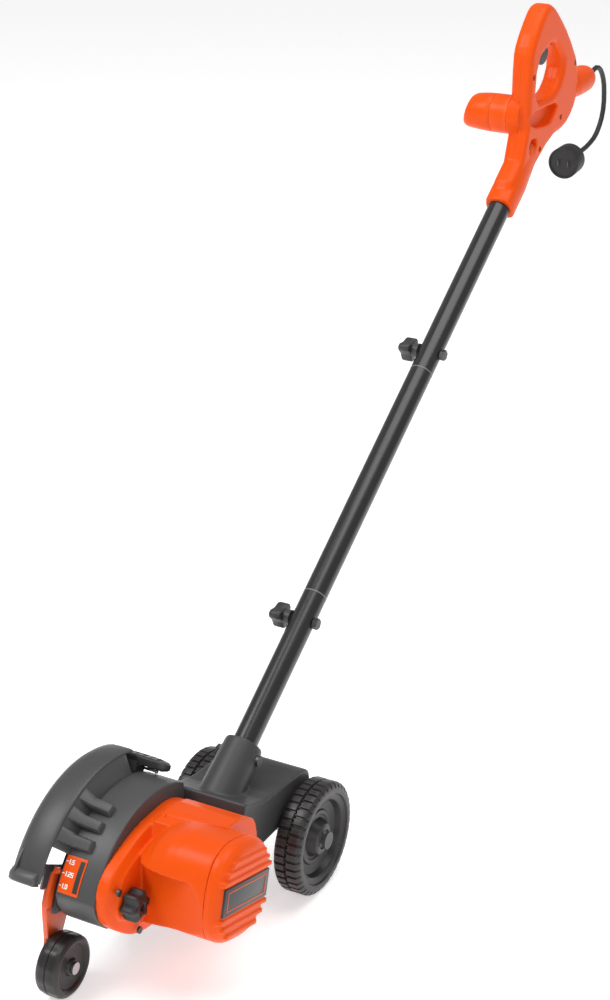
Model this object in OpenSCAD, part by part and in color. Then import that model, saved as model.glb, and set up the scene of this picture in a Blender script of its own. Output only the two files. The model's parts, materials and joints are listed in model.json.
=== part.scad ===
// Corded lawn edger: blade head on three wheels, three-piece shaft and loop handle.
// X points forward, Y to the machine's left and Z up; z = 0 is the ground.
// Most shapes are drawn in a working frame with x = 0 at the rear axle.

/* [Wheels] */
// Rear wheel diameter
rear_wheel_d = 117.5; // [110:0.5:118]
// Rear wheel width
rear_wheel_w = 30; // [26:0.5:31]
// Distance from the centre plane to a rear wheel's inner face
rear_wheel_in = 46.3; // [46:0.1:47]
// Front wheel diameter
front_wheel_d = 62.8; // [56:0.2:63]
// Front wheel width
front_wheel_w = 24.4; // [18:0.1:24.4]

/* [Blade] */
// Blade length, tip to tip
blade_len = 190.5; // [180:0.5:191]
// Blade width
blade_w = 24; // [20:1:25]
// Blade thickness
blade_t = 2; // [1.5:0.1:2.5]
// Angle of the blade at rest above the forward direction
blade_angle = 31; // [20:1:32]

/* [Shaft] */
// Tube outside diameter
tube_d = 25.4; // [25:0.1:25.4]
// Tube wall thickness
tube_wall = 1.2; // [1:0.1:1.4]
// Shaft angle above the ground
shaft_rise = 33.69; // [33.5:0.01:33.9]

/* [Motor] */
// Motor body outside diameter
motor_d = 100; // [99:0.5:101]
// Casing wall thickness
wall = 3; // [2.5:0.1:3.2]

/* [Guard] */
// Guard outside radius about the spindle
guard_r = 132; // [131:0.5:134]

/* [Cord] */
// Cord diameter
cord_d = 6; // [5.5:0.1:6.5]

/* [Hidden] */
$fn = 64;

orange = [0.93, 0.33, 0.07];
grey = [0.36, 0.36, 0.37];
black = [0.15, 0.15, 0.15];
steel = [0.72, 0.73, 0.75];
brass = [0.80, 0.65, 0.30];

// Working frame to part frame: the origin sits under the middle of the object's box
front_x = 295.7;
rear_x = -808;
side_min = -107;
side_max = 99;
origin_x = (front_x + rear_x) / 2;
origin_y = (side_min + side_max) / 2;

// Drive line
spindle_xz = [170, 63.5];
motor_xz = [195, 122];
spindle_r = 6;
case_y = [-62, -20];        // the gear case's outer and inner planes
drum_r = 112;
blade_y = -88;
pulley_r = 28.6;            // 60 teeth at 3 mm pitch
pinion_r = 6.7;             // 14 teeth at 3 mm pitch
belt_gap = 0.35;
motor_y = 80;               // seam between motor housing and end cap
end_y = 97;
stator_r = 37;
stator_y = [48, 79];

// Rear axle
axle_xz = [0, rear_wheel_d / 2];
axle_r = 5;
deck_y = 44;

// Depth arm
front_xz = [264.3, front_wheel_d / 2];
front_wheel_y = -49.4;
clamp_xz = [241, 106];
clamp_r = norm(clamp_xz - spindle_xz);
clamp_angle = atan2(clamp_xz[1] - spindle_xz[1], clamp_xz[0] - spindle_xz[0]);
slot_half = 9.3;            // degrees: the swing each way and the bolt's own width

// Shaft: distances are measured along its axis from shaft_base
shaft_base = [137.6, 0, 90.4];
tube_r = tube_d / 2;
swage_r = tube_r - tube_wall - 0.1;
socket_s = [62, 130];
socket_bolt_s = 118;
lower_s = 66;
joint_low_s = 307;
joint_high_s = 598;
neck_s = 836;
tube_end_s = 884;
clamp_low_s = 277;
clamp_high_s = 626;
shaft_bolt_r = 3;

// Handle outline and finger loop, in the X-Z plane
handle_out = ccw([
    [-552, 576], [-570, 547], [-620, 580], [-676, 609], [-716, 611], [-740, 624],
    [-754, 645], [-752, 682], [-719, 722], [-690, 748], [-668, 764], [-652, 767],
    [-638, 760], [-611, 732], [-603, 712], [-603, 610]
]);
finger_loop = ccw([
    [-624, 663], [-664, 660], [-690, 671], [-701, 690], [-690, 706], [-674, 720],
    [-655, 716], [-629, 705]
]);
neck_out = ccw([
    [-552, 576], [-570, 547], [-620, 580], [-650, 595], [-642, 618], [-603, 610]
]);
handle_t = 12.5;
neck_t = 16;
boss_z = 652;
boss_r = 16.5;
grip_xz = [-614, 647];
grip_r = 22;
trigger_pivot = [-643, 714];
button_xz = [-721, 700];

// Cord route from the strain relief to the plug, in the plane y = 0
cord_route = [
    [-824, 0, 652], [-832, 0, 655], [-840, 0, 656], [-848, 0, 654], [-855, 0, 650],
    [-861, 0, 644], [-866, 0, 637], [-870, 0, 628], [-872, 0, 618], [-873, 0, 607],
    [-872, 0, 597], [-868, 0, 587], [-862, 0, 579], [-854, 0, 572], [-844, 0, 567],
    [-832, 0, 564], [-820, 0, 562], [-807, 0, 561], [-793, 0, 561]
];
relief_len = 26;
relief_tilt = 70;           // the relief's lean from vertical, towards the rear

// Polygon moved inwards by d along every edge; its points run anticlockwise
function edge_dir(a, b) = (b - a) / norm(b - a);
function inset(pts, d) = [
    for (i = [0:len(pts) - 1])
        let (
            a = pts[(i + len(pts) - 1) % len(pts)], b = pts[i], c = pts[(i + 1) % len(pts)],
            u = edge_dir(a, b), v = edge_dir(b, c),
            n = [-u[1], u[0]], m = [-v[1], v[0]],
            bis = (n + m) / norm(n + m)
        ) b + bis * d / (bis * n)
];
function ccw(pts) = [for (i = [len(pts) - 1:-1:0]) pts[i]];
function polar(r, a) = [r * cos(a), r * sin(a)];

// Sets a working-frame shape down in the part frame
module place() { translate([-origin_x, -origin_y, 0]) children(); }

// Extrudes an X-Z outline from y0 to y1
module along_y(y0, y1) {
    translate([0, y1, 0]) rotate([90, 0, 0]) linear_extrude(y1 - y0) children();
}
module rod_y(xz, r, y0, y1) { along_y(y0, y1) translate(xz) circle(r); }
module ring_y(xz, r_out, r_in, y0, y1) {
    along_y(y0, y1) translate(xz) difference() { circle(r_out); circle(r_in); }
}
module sector(r0, r1, a0, a1) {
    intersection() {
        difference() { circle(r1); circle(r0); }
        polygon([[0, 0], polar(2 * r1, a0), polar(2 * r1, (a0 + a1) / 2), polar(2 * r1, a1)]);
    }
}
// Shaft frame: Z runs up the shaft, X points up and forward off its axis
module on_shaft(s = 0) {
    translate(shaft_base) rotate([0, shaft_rise - 90, 0]) translate([0, 0, s]) children();
}
module cross_bolt(r, y0, y1) {
    translate([0, y1, 0]) rotate([90, 0, 0]) cylinder(r = r, h = y1 - y0);
}
module six_lobes(r, lobe) {
    circle(r);
    for (i = [0:5]) rotate(60 * i) translate([r - 1, 0]) circle(lobe, $fn = 32);
}

/* ---- Frame ---- */
deck_out = [
    [108, 84], [108, 150], [60, 128], [10, 125], [-20, 119], [-26, 108], [-26, 84]
];

module deck() {
    color(grey) place() difference() {
        union() {
            difference() {
                along_y(-deck_y, deck_y) polygon(deck_out);
                along_y(wall - deck_y, deck_y - wall) polygon(inset(deck_out, wall));
            }
            for (side = [-1, 1]) along_y(side * 41 - 3, side * 41 + 3) {
                translate(axle_xz) circle(12);
                polygon([axle_xz + [-12, 0], axle_xz + [12, 0], [34, 86], [-18, 86]]);
            }
            on_shaft(socket_s[0]) cylinder(r1 = 22, r2 = 19, h = socket_s[1] - socket_s[0]);
        }
        on_shaft(lower_s) cylinder(r = tube_r + 0.05, h = 100);
        on_shaft(socket_s[0] - 1) cylinder(r = 10.2, h = 10);
        on_shaft(socket_bolt_s) cross_bolt(3.05, -30, 30);
        rod_y(axle_xz, axle_r + 0.02, -50, 50);
    }
}

module socket_bolt() {
    color(steel) place() on_shaft(socket_bolt_s) {
        cross_bolt(3, -24, 24);
        cross_bolt(5.5, 20.4, 24);
        translate([0, -20.4, 0]) rotate([90, 0, 0]) cylinder(r = 6, h = 4, $fn = 6);
    }
}

module rear_axle() {
    color(steel) place() rod_y(axle_xz, axle_r, -79, 79);
}

module axle_caps() {
    color(black) place() for (side = [-1, 1])
        difference() {
            rod_y(axle_xz, 9, side * 78.3 - 1.5, side * 78.3 + 1.5);
            rod_y(axle_xz, axle_r, -79, 79);
        }
}

module rear_wheel(side) {
    color(black) place() translate([axle_xz[0], side * rear_wheel_in, axle_xz[1]])
        rotate([-90 * side, 0, 0]) rotate_extrude($fn = 96) {
            r = rear_wheel_d / 2;
            w = rear_wheel_w;
            polygon([
                [axle_r + 0.05, 0], [13, 0], [13, 7], [40, 7], [44, 1], [r - 4, 0], [r, 4],
                [r, w - 4], [r - 4, w], [44, w], [40, w - 8], [18, w - 10], [16, w],
                [axle_r + 0.05, w]
            ]);
        }
}
module rear_wheel_left() { rear_wheel(1); }
module rear_wheel_right() { rear_wheel(-1); }

/* ---- Gear case and motor ---- */
drum_cut = [
    [108.3, 72], [140, 50], [205, 50], [250, 76], [261, 87], [268, 100], [270.5, 113],
    [300, 113], [300, 180], [108.3, 180]
];
module drum_outline(d = 0) {
    intersection() {
        translate(spindle_xz) circle(drum_r - d, $fn = 128);
        polygon(inset(drum_cut, d));
    }
}

module gear_case() {
    color(grey) place() difference() {
        union() {
            along_y(case_y[0], case_y[1]) drum_outline();
            rod_y(spindle_xz, 36, case_y[0], -38);
            rod_y(spindle_xz, 20, -69.5, case_y[0]);
        }
        along_y(case_y[0] + wall, case_y[1] + 1) drum_outline(wall);
        rod_y(spindle_xz, 33, case_y[0] + wall, -41);
        rod_y(spindle_xz, 9, -72, -50);
        rod_y(clamp_xz, 4.1, -70, -50);
    }
}

module case_fins() {
    color(grey) place() for (i = [0:2]) {
        a = 50 + 10 * i;
        along_y(-75, -38) translate(spindle_xz) sector(drum_r + 0.1, 120, a, a + 5);
        along_y(-75, -66) translate(spindle_xz) sector(119, guard_r - 3, a, a + 5);
        along_y(-67, -63) translate(spindle_xz) sector(drum_r + 0.4, guard_r - 3.5, 46, 106);
    }
}

module depth_label() {
    color(orange) place() along_y(-60, -38)
        translate(spindle_xz) sector(drum_r + 0.1, drum_r + 0.9, 28, 46);
}

flange_out = [
    [109, 80], [150, 46], [190, 46], [220, 54], [240, 68], [261, 88], [267, 102], [267, 121],
    [260, 136], [240, 147], [202, 158], [164, 159], [137, 157], [109, 140]
];
// Room for the depth knob: the motor body's front is cut back by a slanting plane
module knob_cut(d) {
    translate([0, 0, 60 - d]) linear_extrude(84 + 2 * d)
        polygon([[218 - d, -2], [300, -2], [300, motor_y + 1 + d], [247 - d, motor_y + 1 + d]]);
}
hump_out = [[109, 96], [195, 96], [195, 160], [150, 162], [118, 149], [109, 132]];

module motor_housing() {
    color(orange) place() difference() {
        union() {
            difference() {
                along_y(case_y[1], -2) polygon(flange_out);
                along_y(case_y[1] - 1, -5) polygon(inset(flange_out, wall));
            }
            difference() {
                union() {
                    rod_y(motor_xz, motor_d / 2, case_y[1], motor_y);
                    along_y(-2, 60) polygon(hump_out);
                }
                along_y(-3, 57) polygon(inset(hump_out, wall));
                rod_y(motor_xz, motor_d / 2 - 4, -13, motor_y + 1);
            }
            difference() {
                rod_y(motor_xz, motor_d / 2, case_y[1], motor_y);
                difference() {
                    rod_y(motor_xz, motor_d / 2 - 4, -13, motor_y + 1);
                    knob_cut(wall);
                }
            }
            rod_y(spindle_xz, 10.2, -32, -2);
            rod_y(clamp_xz, 8, case_y[1], -2);
            for (a = [60, 180, 300]) along_y(stator_y[0], motor_y) translate(motor_xz)
                rotate(a) translate([stator_r, -3]) square([motor_d / 2 - 2 - stator_r, 6]);
        }
        knob_cut(0);
        rod_y(motor_xz, 11, -21, -1);
        rod_y(spindle_xz, 9, -33, -22);
        rod_y(clamp_xz, 4.1, -25, 0);
    }
}

module cap_tilt() { translate([motor_xz[0], 0, motor_xz[1]]) rotate([0, -16, 0]) children(); }

module motor_end_cap() {
    color(orange) place() {
        difference() {
            union() {
                difference() {
                    rod_y(motor_xz, motor_d / 2, motor_y, end_y);
                    rod_y(motor_xz, motor_d / 2 - wall, motor_y - 1, end_y - wall);
                }
                rod_y(motor_xz, 14, 88.8, end_y - 1);
            }
            rod_y(motor_xz, 11, 88, 94);
        }
        for (z = [30, 21, -24, -33]) cap_tilt() translate([-30, end_y - 1, z]) cube([60, 3, 5]);
    }
}

module nameplate() {
    color(black) place() cap_tilt() translate([-40, end_y, -14]) cube([80, 1.2, 27]);
}

module stator() {
    color(steel) place() difference() {
        ring_y(motor_xz, stator_r, 22, stator_y[0], stator_y[1]);
        for (side = [-1, 1]) along_y(stator_y[0] - 1, stator_y[1] + 1) translate(motor_xz)
            rotate(side * 90) sector(26, 33, -32, 32);
    }
}

module field_coils() {
    color([0.72, 0.38, 0.20]) place() for (side = [-1, 1])
        along_y(stator_y[0] - 3, stator_y[1]) translate(motor_xz)
            rotate(side * 90) sector(26.2, 32.8, -30, 30);
}

module brush_holders() {
    color(brass) place() for (side = [-1, 1])
        translate([motor_xz[0] + side * 24 - 12, 81, motor_xz[1] - 4]) cube([24, 7, 8]);
}

module motor_bearings() {
    color(steel) place() {
        ring_y(motor_xz, 11, 4, -20, -13);
        ring_y(motor_xz, 11, 4, 89, 94);
    }
}

module spindle_bushes() {
    color(brass) place() {
        ring_y(spindle_xz, 9, spindle_r + 0.05, -69.5, -59.5);
        ring_y(spindle_xz, 9, spindle_r + 0.05, -32, -22);
    }
}

module case_screws() {
    color(steel) place() for (xz = [[150, 60], [256, 126], [225, 66]])
        rod_y(xz, 3.5, -2, 0.5);
}

/* ---- Blade drive ---- */
module spindle() {
    color(steel) place() {
        rod_y(spindle_xz, spindle_r, -99, -23);
        rod_y(spindle_xz, 9.5, -76, -71);
    }
}

module toothed_pulley(xz, r, teeth, bore) {
    along_y(-57, -45) translate(xz) difference() {
        circle(r, $fn = 128);
        circle(bore);
        for (i = [0:teeth - 1]) rotate(360 / teeth * i) translate([r, 0]) circle(0.7, $fn = 4);
    }
}
module driven_pulley() { color(black) place() toothed_pulley(spindle_xz, pulley_r, 60, spindle_r); }
module motor_pulley() { color(steel) place() toothed_pulley(motor_xz, pinion_r, 14, 4); }

// Outline of a belt round both pulleys, each radius larger by d
module belt_outline(d) {
    span = norm(motor_xz - spindle_xz);
    lean = acos((pulley_r - pinion_r) / span);
    up = atan2(motor_xz[1] - spindle_xz[1], motor_xz[0] - spindle_xz[0]);
    translate(spindle_xz) circle(pulley_r + d);
    translate(motor_xz) circle(pinion_r + d);
    polygon([
        spindle_xz + polar(pulley_r + d, up - lean), motor_xz + polar(pinion_r + d, up - lean),
        motor_xz + polar(pinion_r + d, up + lean), spindle_xz + polar(pulley_r + d, up + lean)
    ]);
}
module drive_belt() {
    color(black) place() difference() {
        along_y(-55, -47) belt_outline(belt_gap + 2);
        along_y(-56, -46) belt_outline(belt_gap);
    }
}

module blade_washers() {
    color(steel) place() {
        ring_y(spindle_xz, 19, spindle_r, blade_y + 1, -82);
        ring_y(spindle_xz, 10, spindle_r, -83, -76);
        ring_y(spindle_xz, 16, spindle_r, blade_y - blade_t - 3.5, blade_y - blade_t + 1);
    }
}
module blade() {
    color([0.20, 0.20, 0.21]) place() along_y(blade_y - blade_t + 1, blade_y + 1)
        translate(spindle_xz) rotate(blade_angle) difference() {
            intersection() {
                square([blade_len, blade_w], center = true);
                circle(blade_len / 2, $fn = 128);
            }
            circle(spindle_r);
        }
}
module blade_nut() {
    color(steel) place() along_y(-98, blade_y - blade_t - 3.5) translate(spindle_xz)
        difference() { circle(11, $fn = 6); circle(spindle_r); }
}

/* ---- Motor armature ---- */
module armature_shaft() { color(steel) place() rod_y(motor_xz, 3.95, -58, 93.5); }
module armature_core() {
    color([0.45, 0.45, 0.48]) place() along_y(stator_y[0], stator_y[1]) translate(motor_xz) difference() {
        circle(21);
        circle(3.95);
        for (i = [0:11]) rotate(30 * i) translate([15, -1.5]) square([7, 3]);
    }
}
module commutator() { color([0.72, 0.38, 0.20]) place() ring_y(motor_xz, 11, 3.95, stator_y[1] + 1, 88); }
module fan() {
    color(black) place() difference() {
        union() {
            along_y(27, 38) translate(motor_xz) {
                circle(12);
                for (i = [0:8]) rotate(40 * i) translate([11, -1]) square([16, 2]);
            }
            rod_y(motor_xz, 29, 37, 39);
        }
        rod_y(motor_xz, 3.95, 26, 40);
    }
}

/* ---- Blade guard ---- */
module blade_guard() {
    color(grey) place() {
        along_y(-106, -69) translate(spindle_xz) sector(guard_r - 3, guard_r, 30, 112);
        along_y(-107, -104) translate(spindle_xz) sector(70, guard_r, 30, 112);
        along_y(-106, -74) translate(spindle_xz) sector(guard_r - 10, guard_r + 5, 30, 33);
    }
}

/* ---- Depth arm ---- */
module depth_ring() {
    color(black) place() {
        along_y(-68, -63) translate(spindle_xz) difference() {
            union() {
                circle(30);
                sector(25, 104, 15, 124);
                sector(100, 119, 114, 122);
            }
            circle(20.05);
            sector(38, 64, 40, 108);
            sector(clamp_r - 4.1, clamp_r + 4.1, clamp_angle - slot_half, clamp_angle + slot_half);
        }
        along_y(-92, -35) translate(spindle_xz) sector(116, 127.5, 113.5, 122.5);
        along_y(-78, -65) translate(spindle_xz) sector(98.5, 117.5, 114.5, 121.5);
    }
}
module detent_rod() {
    color(steel) place() along_y(-62.8, -48) translate(spindle_xz)
        translate(polar(114.5, 119)) circle(1.2);
}
module wheel_arm() {
    color(orange) place() difference() {
        union() {
            along_y(-78.2, -74.7) {
                polygon([
                    [238, 86], [234, 67], [244, 50.6], [254, 31], [274.6, 31], [270, 58],
                    [270, 98], [262, 112]
                ]);
                translate(front_xz) circle(10.3);
            }
            along_y(-76, -70) translate(spindle_xz) sector(95, 103, 19, 29);
            along_y(-71.5, -68) translate(spindle_xz) sector(94, 118, 18, 36);
        }
        rod_y(front_xz, 4, -80, -60);
    }
}
module front_axle() {
    color(steel) place() {
        rod_y(front_xz, 4, -79, -48.9);
        along_y(-82, -78.2) translate(front_xz) circle(7, $fn = 6);
        rod_y(front_xz, 6, -49.2, -47);
    }
}
module front_wheel() {
    color(black) place() translate([front_xz[0], front_wheel_y, front_xz[1]])
        rotate([90, 0, 0]) rotate_extrude($fn = 96) {
            r = front_wheel_d / 2;
            w = front_wheel_w;
            polygon([
                [4.05, 0.4], [8, 0.4], [9, 3], [21, 3], [24, 0], [r - 4, 0], [r - 1, 2],
                [r, 6], [r, w - 4], [r - 3, w], [10, w], [4.05, w]
            ]);
        }
}
module clamp_bolt() {
    color(steel) place() {
        rod_y(clamp_xz, 4, -69, 12);
        rod_y(clamp_xz, 7, -72, -68.2);
    }
}
module depth_knob() {
    color(black) place() difference() {
        along_y(-1.7, 15) translate(clamp_xz) six_lobes(11.5, 5);
        rod_y(clamp_xz, 4.05, -3, 12.4);
    }
}

/* ---- Shaft ---- */
module tube(s0, s1, r) {
    on_shaft(s0) difference() {
        cylinder(r = r, h = s1 - s0);
        translate([0, 0, -1]) cylinder(r = r - tube_wall, h = s1 - s0 + 2);
    }
}
module lower_tube() {
    color(black) place() difference() {
        tube(lower_s, joint_low_s, tube_r);
        on_shaft(clamp_low_s) cross_bolt(shaft_bolt_r + 0.05, -20, 20);
        on_shaft(socket_bolt_s) cross_bolt(3.05, -20, 20);
    }
}
module middle_tube() {
    color(black) place() difference() {
        union() {
            tube(joint_low_s, joint_high_s, tube_r);
            tube(joint_low_s - 60, joint_low_s + 2, swage_r);
            tube(joint_high_s - 2, joint_high_s + 60, swage_r);
            for (s = [joint_low_s, joint_high_s - 2]) on_shaft(s) difference() {
                cylinder(r = tube_r - 0.5, h = 2);
                translate([0, 0, -1]) cylinder(r = swage_r - tube_wall, h = 4);
            }
        }
        for (s = [clamp_low_s, clamp_high_s]) on_shaft(s) cross_bolt(shaft_bolt_r + 0.05, -20, 20);
    }
}
module upper_tube() {
    color(black) place() difference() {
        tube(joint_high_s, tube_end_s, tube_r);
        on_shaft(clamp_high_s) cross_bolt(shaft_bolt_r + 0.05, -20, 20);
    }
}
module shaft_bolts() {
    color(steel) place() for (s = [clamp_low_s, clamp_high_s]) on_shaft(s) {
        cross_bolt(shaft_bolt_r, -30, 18);
        translate([0, 12.9 + 5, 0]) rotate([90, 0, 0]) cylinder(r = 6, h = 5, $fn = 6);
    }
}
module shaft_knob(s) {
    color(black) place() on_shaft(s) difference() {
        union() {
            cross_bolt(8, -22, -13.2);
            translate([0, -20, 0]) rotate([90, 0, 0]) linear_extrude(14) {
                circle(9);
                for (i = [0:2]) rotate(120 * i + 90) translate([9, 0]) circle(5.5);
            }
        }
        cross_bolt(shaft_bolt_r + 0.05, -30.5, -10);
    }
}
module lower_shaft_knob() { shaft_knob(clamp_low_s); }
module upper_shaft_knob() { shaft_knob(clamp_high_s); }
module inner_lead() {
    color(black) place() on_shaft(60) translate([-7.4, 0, 0]) cylinder(r = 2.4, h = tube_end_s - 52);
}

/* ---- Handle ---- */
screw_xz = [[-612, 612], [-640, 604], [-700, 628], [-738, 684], [-613.5, 692]];

// Half of the handle: side is 1 for the left shell, -1 for the right one
module handle_half(side) {
    module slab(y_in, y_out) {
        along_y(side > 0 ? y_in : -y_out, side > 0 ? y_out : -y_in) children();
    }
    color(orange) place() difference() {
        union() {
            difference() {
                slab(0, handle_t) polygon(handle_out);
                slab(-1, handle_t - wall) difference() {
                    polygon(inset(handle_out, wall));
                    polygon(inset(finger_loop, -wall));
                }
                slab(-1, handle_t + 1) polygon(finger_loop);
            }
            difference() {
                slab(0, neck_t) polygon(neck_out);
                slab(-1, neck_t - wall) polygon(inset(neck_out, wall));
            }
            slab(0, handle_t) translate(grip_xz) difference() { circle(grip_r); circle(grip_r - 4); }
            for (xz = screw_xz) slab(0, handle_t) translate(xz) circle(5);
            intersection() {
                translate([-808, 0, boss_z]) rotate([0, 90, 0]) difference() {
                    cylinder(r = boss_r, h = 60);
                    translate([0, 0, 8]) cylinder(r = boss_r - wall, h = 60);
                }
                slab(0, 40) translate([-820, 600]) square(120);
            }
        }
        on_shaft(neck_s - 20) cylinder(r = tube_r + 0.02, h = 80);
        for (xz = screw_xz) slab(-1, 40) translate(xz) circle(2);
        slab(-1, 6.2) polygon([[-676, 694], [-632, 694], [-631, 722], [-640, 728], [-682, 728]]);
        rod_y(trigger_pivot, 2, -9.6, 9.6);
        relief_frame() translate([0, 0, -8]) cylinder(r = 5.55, h = 40);
        if (side < 0) rod_y(button_xz, 4.1, -20, -5);
    }
}
module relief_frame() {
    translate(cord_route[0]) rotate([0, -relief_tilt, 0]) translate([0, 0, -relief_len]) children();
}
module handle_left() { handle_half(1); }
module handle_right() { handle_half(-1); }

module handle_screws() {
    color(steel) place() for (xz = screw_xz) {
        rod_y(xz, 2, -8, handle_t);
    }
}
module aux_grip() {
    color(orange) place() rod_y(grip_xz, grip_r, -33, -handle_t);
}
module aux_cap() {
    color(orange) place() translate([grip_xz[0], -33, grip_xz[1]]) rotate([90, 0, 0]) {
        cylinder(r1 = grip_r, r2 = grip_r - 4, h = 33);
    }
}
module switch() {
    color(black) place() translate([-713, -9, 713]) rotate([0, 46, 0]) cube([14, 18, 22]);
}
module trigger_pin() { color(steel) place() rod_y(trigger_pivot, 2, -9.5, 9.5); }
module trigger() {
    color(black) place() along_y(-5.6, 5.6) difference() {
        polygon([
            [-650, 720], [-637.5, 719.5], [-636.5, 709], [-648, 699], [-658, 697],
            [-668, 702], [-672, 714]
        ]);
        translate(trigger_pivot) circle(2.05);
    }
}
module lock_button() {
    color(black) place() {
        rod_y(button_xz, 4, -16, -7);
    }
}

/* ---- Cord ---- */
module strain_relief() {
    color(black) place() relief_frame() {
        cylinder(r = 5.5, h = 10);
        translate([0, 0, 10]) cylinder(r1 = 5.5, r2 = 3.8, h = relief_len - 10);
    }
}

// Rings of a tube of radius r swept along points in the plane y = 0
function tangent(p, i) = edge_dir(p[max(i - 1, 0)], p[min(i + 1, len(p) - 1)]);
function tube_ring(p, i, r, n) = let (t = tangent(p, i)) [
    for (k = [0:n - 1]) let (a = 360 * k / n)
        p[i] + r * cos(a) * [0, 1, 0] + r * sin(a) * cross(t, [0, 1, 0])
];
module sweep(p, r, n = 12) {
    last = len(p) - 1;
    polyhedron(
        [for (i = [0:last]) each tube_ring(p, i, r, n)],
        [
            [for (k = [n - 1:-1:0]) k],
            for (i = [0:last - 1]) for (k = [0:n - 1]) each let (
                a = i * n + k, b = i * n + (k + 1) % n
            ) [[a, b, b + n], [a, b + n, a + n]],
            [for (k = [0:n - 1]) last * n + k]
        ]
    );
}
module power_cord() { color(black) place() sweep(cord_route, cord_d / 2); }

// Plug frame: Z runs from the end of the cord out of the plug's face
plug_neck = 20;
plug_len = 27;
module plug_frame() {
    translate(cord_route[len(cord_route) - 1]) rotate([0, 92, 0]) translate([0, 0, plug_neck])
        children();
}
module plug() {
    color(black) place() plug_frame() {
        translate([0, 0, -plug_neck]) cylinder(r1 = 4.5, r2 = 7.5, h = plug_neck + 1);
        cylinder(r = 19, h = plug_len);
    }
}
module plug_blades() {
    color(brass) place() plug_frame() for (side = [-1, 1])
        translate([-3.2, side * 6.35 - 0.75, plug_len]) cube([6.4, 1.5, 1]);
}

deck();
gear_case();
motor_housing();
motor_end_cap();
nameplate();
depth_label();
blade_guard();
case_fins();
stator();
field_coils();
brush_holders();
motor_bearings();
spindle_bushes();
drive_belt();
rear_axle();
axle_caps();
case_screws();
socket_bolt();
lower_tube();
middle_tube();
upper_tube();
shaft_bolts();
inner_lead();
handle_left();
handle_right();
handle_screws();
aux_grip();
aux_cap();
switch();
trigger_pin();
strain_relief();
power_cord();
plug();
plug_blades();
clamp_bolt();
spindle();
driven_pulley();
blade_washers();
blade();
blade_nut();
armature_shaft();
armature_core();
commutator();
fan();
motor_pulley();
rear_wheel_left();
rear_wheel_right();
depth_ring();
detent_rod();
wheel_arm();
front_axle();
front_wheel();
depth_knob();
lower_shaft_knob();
upper_shaft_knob();
trigger();
lock_button();
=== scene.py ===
"""Corded lawn edger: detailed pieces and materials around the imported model."""
import json
import math

import bmesh
import bpy
from mathutils import Matrix, Vector


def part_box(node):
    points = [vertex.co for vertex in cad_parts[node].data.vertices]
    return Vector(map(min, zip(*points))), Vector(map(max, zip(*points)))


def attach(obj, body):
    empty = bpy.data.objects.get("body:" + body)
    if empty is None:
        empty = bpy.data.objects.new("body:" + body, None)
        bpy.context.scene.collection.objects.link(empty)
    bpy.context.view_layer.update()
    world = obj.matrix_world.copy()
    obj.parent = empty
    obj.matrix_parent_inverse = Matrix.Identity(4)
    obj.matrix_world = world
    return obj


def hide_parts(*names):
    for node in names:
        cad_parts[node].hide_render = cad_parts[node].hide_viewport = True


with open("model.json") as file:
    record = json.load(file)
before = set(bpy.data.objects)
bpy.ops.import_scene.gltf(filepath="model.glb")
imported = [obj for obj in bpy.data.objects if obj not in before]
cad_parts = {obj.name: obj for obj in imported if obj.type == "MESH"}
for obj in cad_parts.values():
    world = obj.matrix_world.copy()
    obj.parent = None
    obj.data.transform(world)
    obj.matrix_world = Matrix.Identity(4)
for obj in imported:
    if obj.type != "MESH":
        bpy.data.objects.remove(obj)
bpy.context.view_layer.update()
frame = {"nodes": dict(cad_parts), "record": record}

# ---------------------------------------------------------------- places
# Sizes are in millimetres in the machine's working frame, unless a comment says otherwise:
# x = 0 at the rear axle, y = 0 on the centre plane, z = 0 on the ground.
MM = 0.001


def centre(node):
    """Centre of a node's box in the scene, in metres."""
    low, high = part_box(node)
    return (Vector(low) + Vector(high)) / 2


AXLE = centre("rear_axle")


def at(x, y, z):
    """A working point in the scene, in metres."""
    return Vector((AXLE.x + x * MM, AXLE.y + y * MM, z * MM))


def local(node):
    """Centre of a node in the working frame, in millimetres."""
    c = centre(node)
    return Vector(((c.x - AXLE.x) / MM, (c.y - AXLE.y) / MM, c.z / MM))


def working_box(node):
    """Low and high corners of a node in the working frame, in millimetres."""
    return [[(p[0] - AXLE.x) / MM, (p[1] - AXLE.y) / MM, p[2] / MM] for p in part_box(node)]


def outer_radius(node):
    """Radius of a wheel node, from its height."""
    low, high = working_box(node)
    return (high[2] - low[2]) / 2


SPINDLE = local("spindle")
MOTOR = local("armature_shaft")
CLAMP = local("clamp_bolt")
FRONT = local("front_wheel")
REAR = Vector((0, 0, local("rear_wheel_left").z))
REAR_R = outer_radius("rear_wheel_left")
FRONT_R = outer_radius("front_wheel")
SHAFT_BASE = Vector((137.6, 0, 90.4))
SHAFT_DIR = Vector((-0.83205, 0, 0.5547))
SHAFT_UP = Vector((0.5547, 0, 0.83205))
SHAFT_ANGLE = math.atan2(SHAFT_DIR.z, SHAFT_DIR.x)


def on_shaft(s, up=0.0, y=0.0):
    """A point s along the shaft, lifted off its axis and moved sideways."""
    return SHAFT_BASE + SHAFT_DIR * s + SHAFT_UP * up + Vector((0, y, 0))


def turns(steps):
    """The angles of one full turn, in radians."""
    return [2 * math.pi * k / steps for k in range(steps)]


def flat(hub, angle, radius):
    """The (x, z) at an angle and radius about a Y axis through hub."""
    return hub.x + radius * math.cos(angle), hub.z + radius * math.sin(angle)


def polar(hub, angle, radius, y):
    """The point at an angle and radius about a Y axis through hub."""
    x, z = flat(hub, angle, radius)
    return x, y, z


def leaning(angle):
    """Two directions square to each other in the X-Z plane, the first at an angle."""
    along = Vector((math.cos(angle), 0, math.sin(angle)))
    return along, Vector((-math.sin(angle), 0, math.cos(angle)))


def add_object(name, data):
    thing = bpy.data.objects.new(name, data)
    bpy.context.scene.collection.objects.link(thing)
    return thing


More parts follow.
